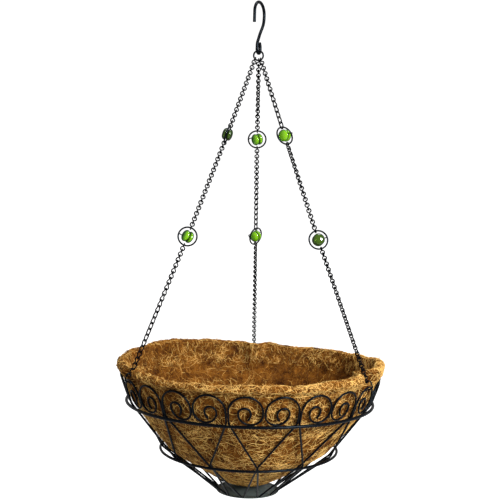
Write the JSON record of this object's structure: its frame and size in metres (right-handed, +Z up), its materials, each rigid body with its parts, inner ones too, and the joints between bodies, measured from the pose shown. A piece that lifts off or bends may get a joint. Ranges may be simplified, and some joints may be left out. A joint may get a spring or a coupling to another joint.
{
  "type": "hanging basket",
  "caption": "Wire bowl of scrolls and crossed rods with a coco fibre liner, hung from an open hook by chains with glass bead charms.",
  "frame": {"origin": "centre of the base plate's underside, on the basket's axis", "axes": "+Z up along the basket's axis to the hook, -Y the front, +X to the right seen from the front"},
  "size_m": [0.3662, 0.3668, 0.6717],
  "materials": {
    "black_wire": "satin black powder coat on steel wire",
    "chain_wire": "satin black coated twisted chain",
    "base_sheet": "satin dark grey coated sheet",
    "coco_fibre": "coarse matted coco fibre",
    "green_glass": "polished translucent green glass"
  },
  "bodies": {
    "hook": {"hook": "black_wire"},
    "hanging_ring": {"hanging_ring": "black_wire"},
    "basket": {"upper_hoop": "black_wire", "lower_hoop": "black_wire", "right_hand_scroll_wires": "black_wire", "left_hand_scroll_wires": "black_wire", "base_plate": "base_sheet"},
    "liner": {"coco_liner": "coco_fibre"},
    "right_upper_run": {"right_upper_chain": "chain_wire"},
    "right_upper_charm": {"right_upper_charm_ring": "black_wire"},
    "right_upper_bead": {"right_upper_glass_bead": "green_glass"},
    "right_middle_run": {"right_middle_chain": "chain_wire"},
    "right_lower_charm": {"right_lower_charm_ring": "black_wire"},
    "right_lower_bead": {"right_lower_glass_bead": "green_glass"},
    "right_lower_run": {"right_lower_chain": "chain_wire"},
    "right_clip": {"right_rim_clip": "black_wire"},
    "rear_upper_run": {"rear_upper_chain": "chain_wire"},
    "rear_upper_charm": {"rear_upper_charm_ring": "black_wire"},
    "rear_upper_bead": {"rear_upper_glass_bead": "green_glass"},
    "rear_middle_run": {"rear_middle_chain": "chain_wire"},
    "rear_lower_charm": {"rear_lower_charm_ring": "black_wire"},
    "rear_lower_bead": {"rear_lower_glass_bead": "green_glass"},
    "rear_lower_run": {"rear_lower_chain": "chain_wire"},
    "rear_clip": {"rear_rim_clip": "black_wire"},
    "left_upper_run": {"left_upper_chain": "chain_wire"},
    "left_upper_charm": {"left_upper_charm_ring": "black_wire"},
    "left_upper_bead": {"left_upper_glass_bead": "green_glass"},
    "left_middle_run": {"left_middle_chain": "chain_wire"},
    "left_lower_charm": {"left_lower_charm_ring": "black_wire"},
    "left_lower_bead": {"left_lower_glass_bead": "green_glass"},
    "left_lower_run": {"left_lower_chain": "chain_wire"},
    "left_clip": {"left_rim_clip": "black_wire"}
  },
  "joints": [
    {"name": "ring_swing", "type": "hinge", "parent": "hook", "child": "hanging_ring", "pos_m": [0, 0, 0.6005], "axis": [0.4384, 0.8988, 0], "range_deg": [-20, 20]},
    {"name": "basket_swing", "type": "hinge", "parent": "hanging_ring", "child": "basket", "pos_m": [0, 0, 0.59747], "axis": [0, 1, 0], "range_deg": [-20, 20]},
    {"name": "liner_lift", "type": "slide", "parent": "basket", "child": "liner", "axis": [0, 0, 1], "range_m": [0, 0.008]},
    {"name": "right_chain_swing", "type": "hinge", "parent": "basket", "child": "right_upper_run", "pos_m": [0, 0, 0.59747], "axis": [0, -1, 0], "range_deg": [0, 30]},
    {"name": "right_upper_charm_rock", "type": "hinge", "parent": "right_upper_run", "child": "right_upper_charm", "pos_m": [0.03407, -0.02078, 0.49892], "axis": [-0.5225, -0.8526, 0], "range_deg": [0, 22]},
    {"name": "right_middle_run_swing", "type": "hinge", "parent": "right_upper_charm", "child": "right_middle_run", "pos_m": [0.04181, -0.02572, 0.47588], "axis": [-0.5225, -0.8526, 0], "range_deg": [0, 22]},
    {"name": "right_lower_charm_rock", "type": "hinge", "parent": "right_middle_run", "child": "right_lower_charm", "pos_m": [0.08099, -0.04963, 0.36067], "axis": [-0.5225, -0.8526, 0], "range_deg": [0, 22]},
    {"name": "right_lower_run_swing", "type": "hinge", "parent": "right_lower_charm", "child": "right_lower_run", "pos_m": [0.08903, -0.05456, 0.33773], "axis": [-0.5225, -0.8526, 0], "range_deg": [0, 22]},
    {"name": "right_clip_tilt", "type": "hinge", "parent": "right_lower_run", "child": "right_clip", "pos_m": [0.14904, -0.09133, 0.17054], "axis": [-0.5225, -0.8526, 0], "range_deg": [0, 22]},
    {"name": "right_upper_bead_spin", "type": "hinge", "parent": "right_upper_charm", "child": "right_upper_bead", "pos_m": [0.03794, -0.02325, 0.4874], "axis": [-0.6336, -0.7722, -0.0472], "continuous": true},
    {"name": "right_lower_bead_spin", "type": "hinge", "parent": "right_lower_charm", "child": "right_lower_bead", "pos_m": [0.08501, -0.05209, 0.3492], "axis": [0.1318, -0.9586, 0.2523], "continuous": true},
    {"name": "rear_chain_swing", "type": "hinge", "parent": "basket", "child": "rear_upper_run", "pos_m": [0.00057, 0, 0.591], "axis": [1, 0, 0], "range_deg": [0, 30]},
    {"name": "rear_upper_charm_rock", "type": "hinge", "parent": "rear_upper_run", "child": "rear_upper_charm", "pos_m": [0.00107, 0.03976, 0.49886], "axis": [0.9997, -0.0262, 0], "range_deg": [0, 22]},
    {"name": "rear_middle_run_swing", "type": "hinge", "parent": "rear_upper_charm", "child": "rear_middle_run", "pos_m": [0.00126, 0.04921, 0.47594], "axis": [0.9997, -0.0262, 0], "range_deg": [0, 22]},
    {"name": "rear_lower_charm_rock", "type": "hinge", "parent": "rear_middle_run", "child": "rear_lower_charm", "pos_m": [0.00249, 0.09495, 0.36067], "axis": [0.9997, -0.0262, 0], "range_deg": [0, 22]},
    {"name": "rear_lower_run_swing", "type": "hinge", "parent": "rear_lower_charm", "child": "rear_lower_run", "pos_m": [0.00273, 0.10438, 0.33773], "axis": [0.9997, -0.0262, 0], "range_deg": [0, 22]},
    {"name": "rear_clip_tilt", "type": "hinge", "parent": "rear_lower_run", "child": "rear_clip", "pos_m": [0.00458, 0.17474, 0.17054], "axis": [0.9997, -0.0262, 0], "range_deg": [0, 22]},
    {"name": "rear_upper_bead_spin", "type": "hinge", "parent": "rear_upper_charm", "child": "rear_upper_bead", "pos_m": [0.00116, 0.04448, 0.4874], "axis": [-0.8173, -0.5303, -0.2255], "continuous": true},
    {"name": "rear_lower_bead_spin", "type": "hinge", "parent": "rear_lower_charm", "child": "rear_lower_bead", "pos_m": [0.00261, 0.09967, 0.3492], "axis": [-0.6396, -0.7085, -0.2983], "continuous": true},
    {"name": "left_chain_swing", "type": "hinge", "parent": "basket", "child": "left_upper_run", "pos_m": [0, 0, 0.59747], "axis": [0, 1, 0], "range_deg": [0, 30]},
    {"name": "left_upper_charm_rock", "type": "hinge", "parent": "left_upper_run", "child": "left_upper_charm", "pos_m": [-0.03516, -0.01898, 0.49894], "axis": [-0.4772, 0.8788, 0], "range_deg": [0, 22]},
    {"name": "left_middle_run_swing", "type": "hinge", "parent": "left_upper_charm", "child": "left_middle_run", "pos_m": [-0.04305, -0.02349, 0.47586], "axis": [-0.4772, 0.8788, 0], "range_deg": [0, 22]},
    {"name": "left_lower_charm_rock", "type": "hinge", "parent": "left_middle_run", "child": "left_lower_charm", "pos_m": [-0.08347, -0.04532, 0.36067], "axis": [-0.4772, 0.8788, 0], "range_deg": [0, 22]},
    {"name": "left_lower_run_swing", "type": "hinge", "parent": "left_lower_charm", "child": "left_lower_run", "pos_m": [-0.09176, -0.04982, 0.33773], "axis": [-0.4772, 0.8788, 0], "range_deg": [0, 22]},
    {"name": "left_clip_tilt", "type": "hinge", "parent": "left_lower_run", "child": "left_clip", "pos_m": [-0.15361, -0.08341, 0.17054], "axis": [-0.4772, 0.8788, 0], "range_deg": [0, 22]},
    {"name": "left_upper_bead_spin", "type": "hinge", "parent": "left_upper_charm", "child": "left_upper_bead", "pos_m": [-0.03911, -0.02123, 0.4874], "axis": [0.9477, -0.0857, -0.3074], "continuous": true},
    {"name": "left_lower_bead_spin", "type": "hinge", "parent": "left_lower_charm", "child": "left_lower_bead", "pos_m": [-0.08762, -0.04757, 0.3492], "axis": [-0.7648, -0.5211, 0.3788], "continuous": true}
  ]
}
